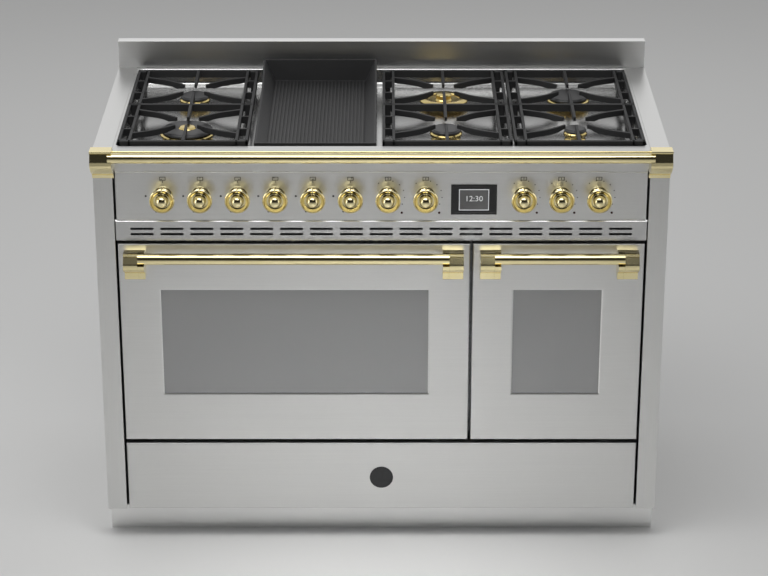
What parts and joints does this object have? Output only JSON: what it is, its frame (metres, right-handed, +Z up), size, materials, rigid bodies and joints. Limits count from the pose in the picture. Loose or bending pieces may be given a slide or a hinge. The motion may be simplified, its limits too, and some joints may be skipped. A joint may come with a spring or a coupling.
{
  "type": "range cooker",
  "caption": "Free-standing range cooker with a gas hob, ribbed griddle, brass rail and knobs, a wide and a narrow drop-down oven and a storage drawer.",
  "frame": {"origin": "on the floor under the middle of the whole cooker", "axes": "+X to the right across the cooker, +Y to its back, +Z up"},
  "size_m": [1.2, 0.65, 0.966],
  "materials": {
    "brushed_steel": "fine horizontal brushing",
    "galvanised_steel": "plain galvanised sheet",
    "polished_brass": "polished and lacquered",
    "burner_brass": "turned, satin",
    "cast_iron": "matt black enamel",
    "black_enamel": "satin black enamel",
    "oven_enamel": "easy-clean grey-black enamel",
    "black_glass": "gloss black glass",
    "oven_glass": "clear toughened glass",
    "seal": "soft woven seal",
    "chromed_wire": "bright chromed wire",
    "fan_steel": "plain steel"
  },
  "bodies": {
    "root": {"left_side_panel": "brushed_steel", "right_side_panel": "brushed_steel", "plinth": "brushed_steel", "hob_deck": "brushed_steel", "splashback": "brushed_steel", "control_panel": "brushed_steel", "vent_grille": "brushed_steel", "back_panel": "galvanised_steel", "chassis": "galvanised_steel", "rail_bracket_left": "polished_brass", "rail_bracket_right": "polished_brass", "front_rail": "polished_brass", "left_front_burner_crown": "burner_brass", "left_rear_burner_crown": "burner_brass", "middle_front_burner_crown": "burner_brass", "middle_rear_burner_crown": "burner_brass", "right_front_burner_crown": "burner_brass", "right_rear_burner_crown": "burner_brass", "left_front_burner_cap": "black_enamel", "left_rear_burner_cap": "black_enamel", "middle_front_burner_cap": "black_enamel", "right_front_burner_cap": "black_enamel", "right_rear_burner_cap": "black_enamel", "left_pan_support": "cast_iron", "middle_pan_support": "cast_iron", "right_pan_support": "cast_iron", "griddle_plate": "cast_iron", "left_oven_cavity": "oven_enamel", "right_oven_cavity": "oven_enamel", "left_oven_fan_cover": "oven_enamel", "display_unit": "black_glass", "left_oven_seal": "seal", "right_oven_seal": "seal", "left_oven_rack_lower": "chromed_wire", "left_oven_rack_upper": "chromed_wire", "right_oven_rack": "chromed_wire"},
    "left_door": {"left_door_panel": "brushed_steel", "left_door_outer_glass": "oven_glass", "left_door_frame": "black_enamel", "left_door_inner_glass": "oven_glass", "left_door_handle": "polished_brass"},
    "right_door": {"right_door_panel": "brushed_steel", "right_door_outer_glass": "oven_glass", "right_door_frame": "black_enamel", "right_door_inner_glass": "oven_glass", "right_door_handle": "polished_brass"},
    "drawer": {"drawer_front": "brushed_steel", "drawer_box": "galvanised_steel"},
    "oven_fan": {"left_oven_fan": "fan_steel"},
    "knob_01": {"knob_01": "polished_brass"},
    "knob_02": {"knob_02": "polished_brass"},
    "knob_03": {"knob_03": "polished_brass"},
    "knob_04": {"knob_04": "polished_brass"},
    "knob_05": {"knob_05": "polished_brass"},
    "knob_06": {"knob_06": "polished_brass"},
    "knob_07": {"knob_07": "polished_brass"},
    "knob_08": {"knob_08": "polished_brass"},
    "knob_09": {"knob_09": "polished_brass"},
    "knob_10": {"knob_10": "polished_brass"},
    "knob_11": {"knob_11": "polished_brass"}
  },
  "joints": [
    {"name": "door_left_drop", "type": "hinge", "parent": "root", "child": "left_door", "pos_m": [-0.1835, -0.261, 0.251], "axis": [1, 0, 0], "range_deg": [0, 90]},
    {"name": "door_right_drop", "type": "hinge", "parent": "root", "child": "right_door", "pos_m": [0.3735, -0.261, 0.251], "axis": [1, 0, 0], "range_deg": [0, 90]},
    {"name": "drawer_slide", "type": "slide", "parent": "root", "child": "drawer", "axis": [0, -1, 0], "range_m": [0, 0.35]},
    {"name": "fan_spin", "type": "hinge", "parent": "root", "child": "oven_fan", "pos_m": [-0.1835, 0.155, 0.465], "axis": [0, -1, 0], "continuous": true},
    {"name": "knob_01_turn", "type": "hinge", "parent": "root", "child": "knob_01", "pos_m": [-0.455, -0.275, 0.805], "axis": [0, -1, 0], "range_deg": [0, 160]},
    {"name": "knob_02_turn", "type": "hinge", "parent": "root", "child": "knob_02", "pos_m": [-0.3768, -0.275, 0.805], "axis": [0, -1, 0], "range_deg": [0, 160]},
    {"name": "knob_03_turn", "type": "hinge", "parent": "root", "child": "knob_03", "pos_m": [-0.2986, -0.275, 0.805], "axis": [0, -1, 0], "range_deg": [0, 160]},
    {"name": "knob_04_turn", "type": "hinge", "parent": "root", "child": "knob_04", "pos_m": [-0.2204, -0.275, 0.805], "axis": [0, -1, 0], "range_deg": [0, 160]},
    {"name": "knob_05_turn", "type": "hinge", "parent": "root", "child": "knob_05", "pos_m": [-0.1422, -0.275, 0.805], "axis": [0, -1, 0], "range_deg": [0, 160]},
    {"name": "knob_06_turn", "type": "hinge", "parent": "root", "child": "knob_06", "pos_m": [-0.064, -0.275, 0.805], "axis": [0, -1, 0], "range_deg": [0, 160]},
    {"name": "knob_07_turn", "type": "hinge", "parent": "root", "child": "knob_07", "pos_m": [0.0142, -0.275, 0.805], "axis": [0, -1, 0], "range_deg": [-270, 0]},
    {"name": "knob_08_turn", "type": "hinge", "parent": "root", "child": "knob_08", "pos_m": [0.0924, -0.275, 0.805], "axis": [0, -1, 0], "range_deg": [-270, 0]},
    {"name": "knob_09_turn", "type": "hinge", "parent": "root", "child": "knob_09", "pos_m": [0.2964, -0.275, 0.805], "axis": [0, -1, 0], "range_deg": [-270, 0]},
    {"name": "knob_10_turn", "type": "hinge", "parent": "root", "child": "knob_10", "pos_m": [0.3746, -0.275, 0.805], "axis": [0, -1, 0], "range_deg": [-270, 0]},
    {"name": "knob_11_turn", "type": "hinge", "parent": "root", "child": "knob_11", "pos_m": [0.4528, -0.275, 0.805], "axis": [0, -1, 0], "range_deg": [-270, 0]}
  ]
}
